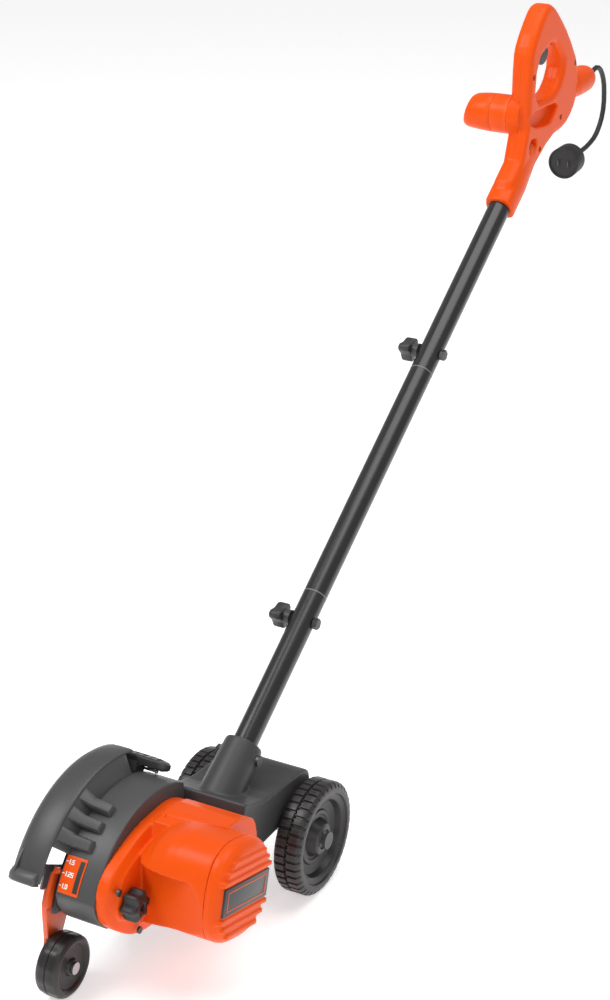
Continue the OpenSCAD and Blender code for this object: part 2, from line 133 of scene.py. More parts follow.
# ---------------------------------------------------------------- camera
AZIMUTH = math.radians(28.42)
ELEVATION = math.radians(24.5)
CAMERA_PLACE = (1604.8, 921.0, 1258.7)
SENSOR = 36
LENS = 77.28
FAR_CLIP = 50  # metres
toward = Vector((
    math.cos(ELEVATION) * math.cos(AZIMUTH),
    math.cos(ELEVATION) * math.sin(AZIMUTH),
    math.sin(ELEVATION),
))
right = Vector((0, 0, 1)).cross(toward).normalized()
above = toward.cross(right)
camera_data = bpy.data.cameras.new("camera")
camera_data.sensor_width = SENSOR
camera_data.lens = LENS
camera_data.clip_end = FAR_CLIP
camera = add_object("camera", camera_data)
turn = Matrix((right, above, toward)).transposed().to_4x4()
camera.matrix_world = Matrix.Translation(at(*CAMERA_PLACE)) @ turn
bpy.context.scene.camera = camera


# ---------------------------------------------------------------- materials
CLOUD_SCALE, CLOUD_DETAIL = 22.0, 4.0
GRAIN_SCALE, GRAIN_DETAIL = 900.0, 2.0
GRAIN_DEPTH = 0.0004  # metres
GLOSS_DRIFT = 0.06
LEAST_ROUGH = 0.02
COAT_ROUGH = 0.25
EDGE_RANGE = {"From Min": 0.52, "From Max": 0.62}


def noise(tree, where, scale, detail):
    """Noise over object coordinates."""
    node = tree.nodes.new("ShaderNodeTexNoise")
    node.inputs["Scale"].default_value = scale
    node.inputs["Detail"].default_value = detail
    tree.links.new(where.outputs["Object"], node.inputs["Vector"])
    return node.outputs["Fac"]


def remap(tree, value, ends):
    """Moves a value to another range; ends names the range's sockets."""
    node = tree.nodes.new("ShaderNodeMapRange")
    for socket, end in ends.items():
        node.inputs[socket].default_value = end
    tree.links.new(value, node.inputs["Value"])
    return node.outputs["Result"]


def mix(tree, factor, first, second):
    """Mixes a colour, or the colour from a socket, with a second colour."""
    node = tree.nodes.new("ShaderNodeMix")
    node.data_type = "RGBA"
    if isinstance(first, tuple):
        node.inputs["A"].default_value = first
    else:
        tree.links.new(first, node.inputs["A"])
    node.inputs["B"].default_value = second
    tree.links.new(factor, node.inputs["Factor"])
    return node.outputs["Result"]


def shade(name, colour, rough, vary=0.12, bump=0.06, metallic=0.0, coat=0.0, wear=0.0,
          wear_colour=(0.5, 0.5, 0.5), specular=0.38):
    """Moulded or painted finish: colour and gloss drift, a fine grain and worn edges."""
    mat = bpy.data.materials.new(name)
    mat.use_nodes = True
    tree = mat.node_tree
    shader = tree.nodes["Principled BSDF"]
    shader.inputs["Metallic"].default_value = metallic
    shader.inputs["Coat Weight"].default_value = coat
    shader.inputs["Specular IOR Level"].default_value = specular
    shader.inputs["Coat Roughness"].default_value = COAT_ROUGH
    where = tree.nodes.new("ShaderNodeTexCoord")
    cloud = noise(tree, where, CLOUD_SCALE, CLOUD_DETAIL)
    darker = (*[c * (1 - vary) for c in colour], 1)
    lighter = (*[min(1, c * (1 + vary)) for c in colour], 1)
    tint = mix(tree, cloud, darker, lighter)
    if wear:
        edge = tree.nodes.new("ShaderNodeNewGeometry").outputs["Pointiness"]
        worn = remap(tree, edge, {**EDGE_RANGE, "To Max": wear})
        tint = mix(tree, worn, tint, (*wear_colour, 1))
    tree.links.new(tint, shader.inputs["Base Color"])
    gloss = remap(tree, cloud, {
        "To Min": max(LEAST_ROUGH, rough - GLOSS_DRIFT), "To Max": rough + GLOSS_DRIFT,
    })
    tree.links.new(gloss, shader.inputs["Roughness"])
    relief = tree.nodes.new("ShaderNodeBump")
    relief.inputs["Strength"].default_value = bump
    relief.inputs["Distance"].default_value = GRAIN_DEPTH
    tree.links.new(noise(tree, where, GRAIN_SCALE, GRAIN_DETAIL), relief.inputs["Height"])
    tree.links.new(relief.outputs["Normal"], shader.inputs["Normal"])
    return mat


ORANGE = shade("orange_plastic", (0.80, 0.082, 0.004), 0.33, 0.05, 0.04, specular=0.14,
               wear=0.25, wear_colour=(0.95, 0.25, 0.08))
GREY = shade("grey_plastic", (0.060, 0.060, 0.061), 0.40, 0.10, 0.12, wear=0.3,
             wear_colour=(0.25, 0.25, 0.26))
DECK_GREY = shade("deck_plastic", (0.045, 0.045, 0.046), 0.42, 0.10, 0.12)
BLACK = shade("black_plastic", (0.022, 0.022, 0.023), 0.42, 0.15, 0.12, wear=0.3,
              wear_colour=(0.16, 0.16, 0.17))
WHEEL = shade("wheel_plastic", (0.020, 0.018, 0.018), 0.36, 0.15, 0.10, wear=0.35,
              wear_colour=(0.16, 0.15, 0.15))
TUBE = shade("tube_paint", (0.016, 0.016, 0.017), 0.24, 0.10, 0.03, coat=0.4)
ARM = shade("arm_paint", (0.82, 0.085, 0.006), 0.32, 0.05, 0.03, coat=0.3, wear=0.2,
            wear_colour=(0.6, 0.3, 0.2))
STEEL = shade("steel", (0.52, 0.53, 0.55), 0.30, 0.10, 0.08, metallic=1.0)
BLADE = shade("blade_steel", (0.10, 0.10, 0.11), 0.38, 0.2, 0.1, metallic=0.8, wear=0.6,
              wear_colour=(0.6, 0.6, 0.62))
BRASS = shade("brass", (0.70, 0.50, 0.20), 0.32, 0.1, 0.05, metallic=1.0)
COPPER = shade("copper", (0.68, 0.30, 0.16), 0.35, 0.15, 0.2, metallic=1.0)
RUBBER = shade("cord_rubber", (0.020, 0.020, 0.021), 0.50, 0.2, 0.15)
BELT = shade("belt_rubber", (0.018, 0.018, 0.019), 0.65, 0.2, 0.3)
# Lighter grey for the rings at the tube joints: a painted highlight line, not wear.
JOINT_HIGHLIGHT_LOOK = shade("joint_painted_highlight", (0.16, 0.16, 0.165), 0.3, 0.12, 0.04)
PLATE = shade("plate_face", (0.035, 0.037, 0.038), 0.35, 0.12, 0.10)
WHITE = shade("white_ink", (0.85, 0.83, 0.78), 0.5, 0.04, 0.03)
SLOT_LOOK = {
    "orange_plastic": ORANGE, "grey_plastic": GREY, "black_plastic": BLACK,
    "wheel_plastic": WHEEL, "tube_paint": TUBE, "arm_paint": ARM, "steel": STEEL,
    "blade_steel": BLADE, "brass": BRASS, "copper": COPPER, "cord_rubber": RUBBER,
    "belt_rubber": BELT,
}

DARK_STEEL = shade("dark_steel", (0.10, 0.10, 0.10), 0.45, 0.1, 0.08, metallic=0.9)
DARK_NODES = ("case_screws", "socket_bolt", "plug_blades", "shaft_bolts")

for row in frame["record"]["subparts"]:
    look = DARK_STEEL if row["node"] in DARK_NODES else SLOT_LOOK[row["material_slot"]]
    cad = frame["nodes"][row["node"]]
    cad.data.materials.clear()
    cad.data.materials.append(look)


# ---------------------------------------------------------------- mesh tools
class Shape:
    """Closed pieces of mesh, in working millimetres, gathered into one object."""

    def __init__(self):
        self.bm = bmesh.new()

    def _add(self, points, faces):
        verts = [self.bm.verts.new(at(*p)) for p in points]
        for f in faces:
            self.bm.faces.new([verts[i] for i in f])
        return self

    def grid(self, rings):
        """Skins a list of rings of equal length and closes both ends."""
        n = len(rings[0])
        points = [p for ring in rings for p in ring]
        faces = []
        for i in range(len(rings) - 1):
            for k in range(n):
                a, b = i * n + k, i * n + (k + 1) % n
                faces.append((a, b, b + n, a + n))
        faces.append(tuple(range(n))[::-1])
        faces.append(tuple((len(rings) - 1) * n + k for k in range(n)))
        return self._add(points, faces)

    def prism(self, outline, y0, y1):
        """An X-Z outline from y0 to y1."""
        return self.grid([[(x, y, z) for x, z in outline] for y in (y0, y1)])

    def block(self, low, high):
        """A box between two corners."""
        x0, y0, z0 = low
        x1, y1, z1 = high
        return self.prism([(x0, z0), (x1, z0), (x1, z1), (x0, z1)], y0, y1)

    def rod(self, p, q, r0, r1=None, steps=32):
        """A straight round bar or cone from p to q."""
        p, q = Vector(p), Vector(q)
        r1 = r0 if r1 is None else r1
        axis = (q - p).normalized()
        side = axis.cross(Vector((0, 0, 1)) if abs(axis.z) < 0.9 else Vector((0, 1, 0)))
        side.normalize()
        other = axis.cross(side)
        rings = []
        for c, r in ((p, r0), (q, r1)):
            rings.append([
                tuple(c + r * (math.cos(a) * side + math.sin(a) * other))
                for a in turns(steps)
            ])
        return self.grid(rings)

    def turned(self, profile, hub, steps=96, wobble=None):
        """A closed (radius, y) profile turned about a Y axis through hub.

        wobble, if given, takes an angle and a place in the profile, and moves that radius.
        """
        n = len(profile)
        points = []
        for a in turns(steps):
            for j, (r, y) in enumerate(profile):
                r += wobble(a, j) if wobble else 0
                points.append(polar(hub, a, r, y))
        faces = [
            (i * n + j, i * n + (j + 1) % n, (i + 1) % steps * n + (j + 1) % n,
             (i + 1) % steps * n + j)
            for i in range(steps) for j in range(n)
        ]
        return self._add(points, faces)

    def sector(self, r0, r1, a0, a1, y0, y1, steps=24):
        """Part of a flat ring about the spindle, angles in degrees."""
        angles = [math.radians(a0 + (a1 - a0) * k / steps) for k in range(steps + 1)]
        outer = [flat(SPINDLE, a, r1) for a in angles]
        inner = [flat(SPINDLE, a, r0) for a in reversed(angles)]
        return self.prism(outer + inner, y0, y1)

    def swept(self, stations):
        """(radius, y) profiles about the spindle, each with its angle in degrees."""
        return self.grid([
            [polar(SPINDLE, math.radians(a), r, y) for r, y in profile]
            for a, profile in stations
        ])

    def lobed(self, hub, levels, radius, lobe, dip, count, steps, phase=0.0):
        """A lobed bar about a Y axis; levels are (y, growth), dip deepens the hollows."""
        rings = []
        for y, grow in levels:
            ring = []
            for a in turns(steps):
                wave = math.cos(count * (a - phase))
                reach = radius + lobe * (wave if wave > 0 else wave * dip) + grow
                ring.append(polar(hub, a, reach, y))
            rings.append(ring)
        return self.grid(rings)

    def slab(self, middle, lean, stations):
        """A leaning bar; stations are (y, centre along, centre across, half sizes)."""
        along, across = lean
        return self.grid([
            [
                tuple(middle + along * (u + su * half_u) + across * (v + sv * half_v)
                      + Vector((0, y, 0)))
                for su, sv in ((-1, -1), (1, -1), (1, 1), (-1, 1))
            ]
            for y, u, v, half_u, half_v in stations
        ])

    def finish(self, name, bevel=0.0, segments=3, voxel=0.0, smooth=0, angle=35, merge=True):
        """Turns what was gathered into an object, melted together if voxel is given."""
        if merge:
            bmesh.ops.remove_doubles(self.bm, verts=self.bm.verts, dist=1e-7)
        bmesh.ops.recalc_face_normals(self.bm, faces=self.bm.faces)
        mesh = bpy.data.meshes.new(name)
        self.bm.to_mesh(mesh)
        self.bm.free()
        piece = add_object(name, mesh)
        if bevel:
            round_edges(piece, bevel, segments, angle)
        if voxel:
            mod = piece.modifiers.new("melt", "REMESH")
            mod.mode = "VOXEL"
            mod.voxel_size = voxel * MM
            bake(piece)
        if smooth:
            mod = piece.modifiers.new("ease", "SMOOTH")
            mod.factor = 0.5
            mod.iterations = smooth
            bake(piece)
        piece.data.shade_smooth()
        if not voxel:
            piece.data.set_sharp_from_angle(angle=math.radians(angle))
        return piece


def bake(piece):
    """Applies the modifiers on a piece to its mesh."""
    graph = bpy.context.evaluated_depsgraph_get()
    mesh = bpy.data.meshes.new_from_object(piece.evaluated_get(graph))
    piece.modifiers.clear()
    piece.data = mesh
    mesh.name = piece.name


def round_edges(piece, width, segments, angle):
    """Bevels the edges that turn by more than an angle in degrees."""
    mod = piece.modifiers.new("bevel", "BEVEL")
    mod.width = width * MM
    mod.segments = segments
    mod.limit_method = "ANGLE"
    mod.angle_limit = math.radians(angle)
    bake(piece)


def cut(piece, tool, operation="DIFFERENCE"):
    """Cuts a piece with a tool piece, or keeps what they share, and drops the tool."""
    mod = piece.modifiers.new("cut", "BOOLEAN")
    mod.operation = operation
    mod.solver = "EXACT"
    mod.object = tool
    bake(piece)
    bpy.data.objects.remove(tool)
    return piece


def soften(points, rounds=2):
    """Chaikin's corner cutting on a closed outline."""
    for _ in range(rounds):
        n = len(points)
        points = [
            tuple(a * (1 - t) + b * t for a, b in zip(points[i], points[(i + 1) % n]))
            for i in range(n) for t in (0.25, 0.75)
        ]
    return points


def dress(piece, look, body, slot, *nodes):
    """Material, body and the CAD nodes that a piece stands for; the slot argument is not used."""
    piece.data.materials.clear()
    piece.data.materials.append(look)
    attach(piece, body)
    if nodes:
        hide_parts(*nodes)
    return piece


# ---------------------------------------------------------------- cord and plug
CORD_D = 6.0
CORD_ROUTE = [
    (-824, 0, 652), (-832, 0, 655), (-840, 0, 656), (-848, 0, 654), (-855, 0, 650),
    (-861, 0, 644), (-866, 0, 637), (-870, 0, 628), (-872, 0, 618), (-873, 0, 607),
    (-872, 0, 597), (-868, 0, 587), (-862, 0, 579), (-854, 0, 572), (-844, 0, 567),
    (-832, 0, 564), (-820, 0, 562), (-807, 0, 561), (-793, 0, 561),
]
PLUG_TILT, RELIEF_TILT = math.radians(92), math.radians(70)
PLUG_AXIS = Vector((math.sin(PLUG_TILT), 0, math.cos(PLUG_TILT)))
RELIEF_AXIS = Vector((-math.sin(RELIEF_TILT), 0, math.cos(RELIEF_TILT)))


def make_cord():
    curve = bpy.data.curves.new("power_cord_skin", "CURVE")
    curve.dimensions = "3D"
    curve.bevel_depth = CORD_D / 2 * MM
    curve.bevel_resolution = 5
    curve.use_fill_caps = True
    spline = curve.splines.new("POLY")
    spline.points.add(len(CORD_ROUTE) - 1)
    for point, place in zip(spline.points, CORD_ROUTE):
        point.co = (*at(*place), 1)
    return add_object("power_cord_skin", curve)


def make_relief():
    """Ribbed sleeve on the cord where it leaves the handle."""
    tip, axis = Vector(CORD_ROUTE[0]), RELIEF_AXIS
    shape = Shape()
    shape.rod(tip - axis * 26, tip - axis * 16, 5.5)
    shape.rod(tip - axis * 16.2, tip - axis * 0.2, 4.7, 3.7)
    for k in range(5):
        back = 14.5 - 3 * k
        shape.rod(tip - axis * back, tip - axis * (back - 1.8), 5.3 - 0.3 * k, 5.1 - 0.3 * k)
    return shape.finish("strain_relief_skin", bevel=0.4, segments=2, merge=False)


def make_plug():
    """Round plug body with a dished face and a ribbed neck."""
    start = Vector(CORD_ROUTE[-1])
    face = start + PLUG_AXIS * 20
    shape = Shape()
    shape.rod(start, start + PLUG_AXIS * 10, 4.4, 5.4)
    shape.rod(start + PLUG_AXIS * 6, start + PLUG_AXIS * 21, 7.0, 8.6)
    for k in range(3):
        shape.rod(start + PLUG_AXIS * (8 + 4 * k), start + PLUG_AXIS * (10 + 4 * k), 8.8)
    shape.rod(face, face + PLUG_AXIS * 3, 16.0, 18.4, 64)
    shape.rod(face + PLUG_AXIS * 2.6, face + PLUG_AXIS * 26.6, 18.4, 19.0, 64)
    plug = shape.finish("plug_skin", bevel=0.5, segments=2, merge=False)
    dish = Shape().rod(face + PLUG_AXIS * 25.2, face + PLUG_AXIS * 28, 17.0, 17.3, 64)
    return cut(plug, dish.finish("plug_dish"))


cord_piece = dress(make_cord(), RUBBER, "chassis", "cord_rubber", "power_cord")
relief_piece = dress(make_relief(), RUBBER, "chassis", "cord_rubber", "strain_relief")
plug_piece = dress(make_plug(), RUBBER, "chassis", "cord_rubber", "plug")


# ---------------------------------------------------------------- wheels
REAR_INNER = 46.3
LUGS, LUG_GAP, LUG_DEPTH = 40, 0.12, 1.8


def make_rear_wheel(name, side):
    """Lugged tyre and dished face; side is 1 on the left and -1 on the right."""
    r = REAR_R

    def y(h):
        return side * (REAR_INNER + h)

    profile = [
        (5.05, y(0)), (13, y(0)), (13, y(6)), (17, y(7)), (38, y(7)), (43, y(3)), (46, y(0.8)),
        (52, y(0.4)), (r - 3.2, y(1.2)), (r - 0.6, y(3.6)), (r, y(5)), (r, y(9)), (r, y(13.6)),
        (r - 1.7, y(14.1)), (r - 1.7, y(15.9)), (r, y(16.4)), (r, y(21)), (r, y(25)),
        (r - 0.6, y(26.6)), (r - 3.2, y(28.8)), (53, y(29.6)), (49, y(30)), (47.5, y(29.6)),
        (46.5, y(27.6)), (44, y(26.6)), (42.4, y(26.8)), (40.5, y(25.6)), (38, y(20)),
        (35, y(18.6)), (29, y(18)), (27.6, y(19.4)), (24, y(19.6)), (22.6, y(18.2)),
        (20.5, y(18.6)), (18, y(23)), (15.6, y(27)), (13, y(28.4)), (10.5, y(28.2)),
        (9.4, y(26.5)), (5.05, y(26.5)),
    ]

    def tread(a, j):
        left_row, right_row = 9 <= j <= 13, 14 <= j <= 19
        if not (left_row or right_row):
            return 0
        phase = a * LUGS / (2 * math.pi) + (0.5 if right_row else 0)
        return -LUG_DEPTH if abs(phase - round(phase)) < LUG_GAP else 0

    shape = Shape().turned(profile, REAR, steps=LUGS * 10, wobble=tread)
    return shape.finish(name, angle=30)


def make_front_wheel():
    """Narrow wheel with a dished face and a finely rippled tread."""
    r = FRONT_R
    outer = working_box("front_wheel")[1][1]
    profile = [
        (4.05, -0.6), (7, -0.6), (8, -1.6), (9, -3.6), (18, -4.4), (21.5, -3.4), (23, -1.2),
        (24.6, -0.2), (26, 0), (r - 3.2, -0.9), (r - 1.1, -2.8), (r - 0.2, -5.4), (r, -8.6),
        (r, -11.2), (r - 0.9, -11.8), (r - 0.9, -12.8), (r, -13.4), (r, -17.5),
        (r - 0.4, -20.6), (r - 2.0, -23.2), (24, -24.2), (10, -24.2), (4.05, -24.2),
    ]

    def ripple(a, j):
        return -0.3 * (1 - math.cos(a * 14)) if 11 <= j <= 18 else 0

    shape = Shape().turned([(p, outer + h) for p, h in profile], FRONT, 168, ripple)
    return shape.finish("front_wheel_skin", angle=30)


for label, side in (("left", 1), ("right", -1)):
    wheel = make_rear_wheel(f"rear_wheel_{label}_skin", side)
    dress(wheel, WHEEL, f"{label}_wheel", "wheel_plastic", f"rear_wheel_{label}")
dress(make_front_wheel(), WHEEL, "guide_wheel", "wheel_plastic", "front_wheel")


# ---------------------------------------------------------------- motor head
GEAR_Y = (-62.0, -20.0)
DRUM_R = 112.0
SEAM_Y = 80.0
BODY_R = 48.4
PLATE_TILT = math.radians(16)
PLATE_LEAN = leaning(PLATE_TILT)
HUB = Vector((SPINDLE.x, 0, SPINDLE.z))
FLANGE = [
    (109, 80), (150, 46), (190, 46), (220, 54), (240, 68), (261, 88), (267, 102), (267, 121),
    (260, 136), (240, 147), (202, 158), (164, 159), (137, 157), (109, 140),
]
HUMP = [(109, 96), (195, 96), (195, 160), (150, 162), (118, 149), (109, 132)]


def polar_radius(outline, x, z, angle):
    """Distance from (x, z) to an outline in one direction."""
    direction = Vector((math.cos(angle), math.sin(angle)))
    best = 0.0
    n = len(outline)
    for i in range(n):
        a = Vector(outline[i]) - Vector((x, z))
        edge = Vector(outline[(i + 1) % n]) - Vector(outline[i])
        det = direction.x * -edge.y + edge.x * direction.y
        if abs(det) < 1e-9:
            continue
        t = (a.x * -edge.y + edge.x * a.y) / det
        s = (direction.x * a.y - direction.y * a.x) / det
        if -1e-6 <= s <= 1 + 1e-6:
            best = max(best, t)
    return best


def body_radius(angle):
    """Rounded square section of the motor body, leaning with the plate."""
    lean = angle - PLATE_TILT
    power = 2.7
    spread = abs(math.cos(lean)) ** power + abs(math.sin(lean)) ** power
    return BODY_R * spread ** (-1 / power)


def flange_rings():
    """Sections that turn from the flange's outline into the motor body's."""
    rim = soften(FLANGE)
    rings = []
    # y, how far the section has turned into the motor body's, inset
    for y, blend, inset in (
        (-20, 0, 0), (-10, 0, 0), (-8.5, 0, 1), (-3.5, 0, 12.5), (-2.5, 0.1, 13),
        (6, 0.4, 10), (18, 0.7, 6), (32, 0.92, 2), (44, 1, 0), (SEAM_Y, 1, 0),
    ):
        ring = []
        for a in turns(96):
            radius = polar_radius(rim, MOTOR.x, MOTOR.z, a) - inset
            radius = radius * (1 - blend) + body_radius(a) * blend
            ring.append(polar(MOTOR, a, radius, y))
        rings.append(ring)
    return rings


def make_motor_housing():
    """Flange, chamfer and motor body melted into one moulding, cut back for the knob."""
    body = Shape().grid(flange_rings()).finish("motor_housing_skin")
    low, high = [], []
    for px, py in ((218, -2.5), (300, -2.5), (300, 84), (247.5, 84)):
        low.append((px, py, 20))
        high.append((px - 3, py, 146))
    cut(body, Shape().grid([low, high]).finish("knob_room"))
    shape = Shape()
    shape.bm.from_mesh(body.data)
    bpy.data.objects.remove(body)
    shape.prism(soften(HUMP, 1), -8, 60)
    shape.rod((CLAMP.x, -10, CLAMP.z), (CLAMP.x, -2.4, CLAMP.z), 17)
    piece = shape.finish("motor_housing_skin", voxel=1.0, smooth=5, merge=False)
    channel = Shape().rod((172, -2, 164.5), (168, 62, 163), 4.4, 4.4, 24)
    return cut(piece, channel.finish("channel"))


def make_end_cap():
    """Domed cap with raised bars above and below the plate."""
    shape = Shape().grid([
        [polar(MOTOR, a, body_radius(a) - inset, y) for a in turns(96)]
        for y, inset in (
            (SEAM_Y + 0.5, 0.2), (86, 0.2), (90, 1.4), (94, 4.6), (96, 8.4), (96.6, 12),
        )
    ])
    middle = Vector((MOTOR.x, 0, MOTOR.z))
    for across, half in ((34, 30), (25.5, 38), (17.5, 44), (-19, 43), (-27.5, 37), (-36, 28)):
        shape.slab(middle, PLATE_LEAN, (
            (82, 0, across, half + 3.5, 2.1), (98.2, 0, across, half, 2.1),
        ))
    piece = shape.finish("motor_end_cap_skin", voxel=0.9, smooth=3, merge=False)
    knob_room = Shape().grid([
        [(247.2, 78, 20), (300, 78, 20), (300, 99, 20), (250, 99, 20)],
        [(244.2, 78, 146), (300, 78, 146), (300, 99, 146), (247, 99, 146)],
    ])
    return cut(piece, knob_room.finish("cap_room"))


def make_nameplate():
    """Blank dark plate and a thin raised frame on it."""
    middle = Vector((MOTOR.x, 0, MOTOR.z)) + PLATE_LEAN[1] * -0.5
    plate = Shape().slab(middle, PLATE_LEAN, ((95, 0, 0, 41, 13.5), (97.8, 0, 0, 41, 13.5)))
    rim = Shape()
    for u, v, half_u, half_v in (
        (0, -9, 35, 0.45), (0, 9, 35, 0.45), (-35, 0, 0.45, 9.45), (35, 0, 0.45, 9.45),
    ):
        rim.slab(middle, PLATE_LEAN, [(y, u, v, half_u, half_v) for y in (97, 98.1)])
    return (
        plate.finish("nameplate_skin", bevel=0.5, segments=2),
        rim.finish("nameplate_frame", bevel=0.2, segments=2, merge=False),
    )


def make_gear_case():
    """Drum about the spindle with its chamfered lower front, and the spindle's boss."""
    back = 109.2
    arc = [flat(SPINDLE, math.radians(26 + 4 * k), DRUM_R) for k in range(25)]
    outline = [(back, 72), (140, 50), (205, 50), (250, 76), (261, 87), (268, 100)]
    outline += [p for p in arc if p[0] > back]
    outline.append((back, 157.2))
    drum = Shape().prism(outline, *GEAR_Y)
    boss = Shape().rod((SPINDLE.x, -61.5, SPINDLE.z), (SPINDLE.x, -69.4, SPINDLE.z), 19.9)
    boss.rod((SPINDLE.x, -40, SPINDLE.z), (SPINDLE.x, -61, SPINDLE.z), 35.8)
    return (
        drum.finish("gear_case_skin", bevel=1.8, segments=3, angle=28),
        boss.finish("gear_case_boss", bevel=0.8, merge=False),
    )


def make_fins():
    """Sloping web between the drum and the guard, and the three wedges across it."""
    web = ((DRUM_R, -62), (130.4, -73), (130.6, -70), (DRUM_R, -59.6))
    shape = Shape().swept([(46 + 60 * k / 48, web) for k in range(49)])
    for start in (50, 60, 70):
        stations = []
        for a, top in (
            (start - 0.6, 0.2), (start, 1.0), (start + 4.2, 1.0), (start + 5.4, 0.12),
        ):
            lift = 8.5 * top
            stations.append((a, (
                (DRUM_R - 1, -38), (DRUM_R + lift * 0.8, -40), (118 + lift * 0.5, -58),
                (129, -68.8), (127, -74), (118, -74), (DRUM_R - 1, -70),
            )))
        shape.swept(stations)
    return shape.finish("case_fins_skin", bevel=0.6, segments=2, merge=False)


GUARD = [
    (129.5, -69), (131.2, -69.4), (132, -72), (132, -84), (131.6, -92), (129.8, -98.5),
    (126.2, -103.2), (121, -106), (112, -107), (70, -107), (70, -104.6), (112, -104.4),
    (120, -103.4), (124.4, -101), (127.4, -97), (129, -91), (129.4, -84), (129.4, -72),
]
GUARD_LIP = [
    (116, -104.5), (125, -104.5), (129, -101), (131.6, -95), (132.4, -84),
    (132.4, -74), (130, -72.5), (122, -72.5), (122, -90), (116, -96),
]


def make_guard():
    """Crowned shell over the top of the blade, with a rolled lip and a rib."""
    shape = Shape().swept([(30 + 82 * i / 60, GUARD) for i in range(61)])
    shape.swept([
        (a, [(r + grow, y) for r, y in GUARD_LIP])
        for a, grow in ((28.6, 2.0), (29.2, 4.2), (31.5, 4.6), (33.4, 1.6), (34.2, -0.6))
    ])
    rib = [
        flat(SPINDLE, math.radians(a), 128 + h)
        for a, h in ((29.5, 0), (43, 0), (41.5, 3), (32.5, 7.0), (29.5, 5.5))
    ]
    shape.prism(rib, -98.5, -96)
    return shape.finish("blade_guard_skin", bevel=0.6, segments=2, angle=40, merge=False)


# Strokes of the numerals on the depth scale, on a 2 by 4 grid
DIGITS = {
    "0": [(0, 0, 0, 4), (0, 4, 2, 4), (2, 4, 2, 0), (2, 0, 0, 0)],
    "1": [(1, 0, 1, 4)],
    "2": [(0, 4, 2, 4), (2, 4, 2, 2), (2, 2, 0, 2), (0, 2, 0, 0), (0, 0, 2, 0)],
    "5": [(2, 4, 0, 4), (0, 4, 0, 2), (0, 2, 2, 2), (2, 2, 2, 0), (2, 0, 0, 0)],
    ".": [(0.6, 0, 1.0, 0)],
}


DEGREES_PER_MM = 180 / (math.pi * DRUM_R)
STROKE_SCALE = 0.92
NUMERALS = ((43.0, "1.5"), (37.2, "1.25"), (31.4, "1.0"))


def advance(ch):
    """How far the next numeral is from this one."""
    return {".": 1.5, "1": 2.0}.get(ch, 2.9)


def add_stroke(shape, a0, y0, a1, y1, half):
    """A raised bar on the label between two (angle, y) points."""
    p, q = Vector((a0, y0)), Vector((a1, y1))
    d = Vector(((q.x - p.x) / DEGREES_PER_MM, q.y - p.y))
    d = d.normalized() if d.length else Vector((0, 1))
    n = Vector((-d.y, d.x)) * half
    d = d * half
    rings = []
    for r in (DRUM_R + 0.7, DRUM_R + 1.05):
        ring = []
        for end, sd, sn in ((p, -1, 1), (p, -1, -1), (q, 1, -1), (q, 1, 1)):
            a = math.radians(end.x + (d.x * sd + n.x * sn) * DEGREES_PER_MM)
            ring.append(polar(SPINDLE, a, r, end.y + d.y * sd + n.y * sn))
        rings.append(ring)
    shape.grid(rings)


def make_scale():
    """Curved orange label, its numerals 1.5, 1.25 and 1.0, tick marks and a dark strip."""
    label = Shape().sector(DRUM_R + 0.1, DRUM_R + 0.8, 28, 46, -60, -38.2, steps=16)
    ink = Shape()
    for middle, text in NUMERALS:
        y = -56.4
        for ch in text:
            for x0, z0, x1, z1 in DIGITS[ch]:
                add_stroke(ink, middle + (z0 - 2) * STROKE_SCALE * DEGREES_PER_MM,
                           y + x0 * STROKE_SCALE,
                           middle + (z1 - 2) * STROKE_SCALE * DEGREES_PER_MM,
                           y + x1 * STROKE_SCALE, 0.42)
            y += advance(ch)
        add_stroke(ink, middle, -59.3, middle, -57.6, 0.35)
    strip = Shape().sector(DRUM_R + 0.7, DRUM_R + 0.95, 29.4, 44.6, -44.6, -39.6, steps=14)
    return (
        label.finish("depth_label_skin", bevel=0.2, segments=2),
        ink.finish("depth_label_numerals", merge=False, angle=20),
        strip.finish("depth_label_strip", merge=False),
    )


def make_depth_knob():
    """Six-lobed knob with a domed crown and a hex socket."""
    base, crown = -1.6, 14.6
    levels = [(base + (crown - base) * t, grow) for t, grow in (
        (0, -1.6), (0.06, -0.4), (0.16, 0), (0.74, 0), (0.86, -0.7), (0.95, -2.2), (1, -4.4),
    )]
    knob = Shape().lobed(CLAMP, levels, 13.2, 2.4, 0.55, 6, 120)
    socket = Shape().rod((CLAMP.x, crown - 2.2, CLAMP.z), (CLAMP.x, crown + 2, CLAMP.z),
                         4.0, 4.2, 6)
    return cut(knob.finish("depth_knob_skin", angle=50), socket.finish("socket"))


dress(make_motor_housing(), ORANGE, "chassis", "orange_plastic", "motor_housing")
dress(make_end_cap(), ORANGE, "chassis", "orange_plastic", "motor_end_cap")
plate_piece, plate_rim = make_nameplate()
dress(plate_piece, PLATE, "chassis", "black_plastic", "nameplate")
dress(plate_rim, ORANGE, "chassis", "orange_plastic")
case_piece, case_boss = make_gear_case()
dress(case_piece, GREY, "chassis", "grey_plastic", "gear_case")
dress(case_boss, GREY, "chassis", "grey_plastic")
dress(make_fins(), GREY, "chassis", "grey_plastic", "case_fins")
dress(make_guard(), GREY, "chassis", "grey_plastic", "blade_guard")
label_piece, numerals, dark_strip = make_scale()
dress(label_piece, ORANGE, "chassis", "orange_plastic", "depth_label")
dress(numerals, WHITE, "chassis", "orange_plastic")
dress(dark_strip, PLATE, "chassis", "black_plastic")
dress(make_depth_knob(), BLACK, "clamp_knob", "black_plastic", "depth_knob")


# ---------------------------------------------------------------- deck and socket
DECK_TOP = [
    (108, 84), (108, 150), (84, 138.5), (60, 130), (10, 126), (-12, 123.5), (-24, 119),
    (-28, 107), (-27, 84),
]


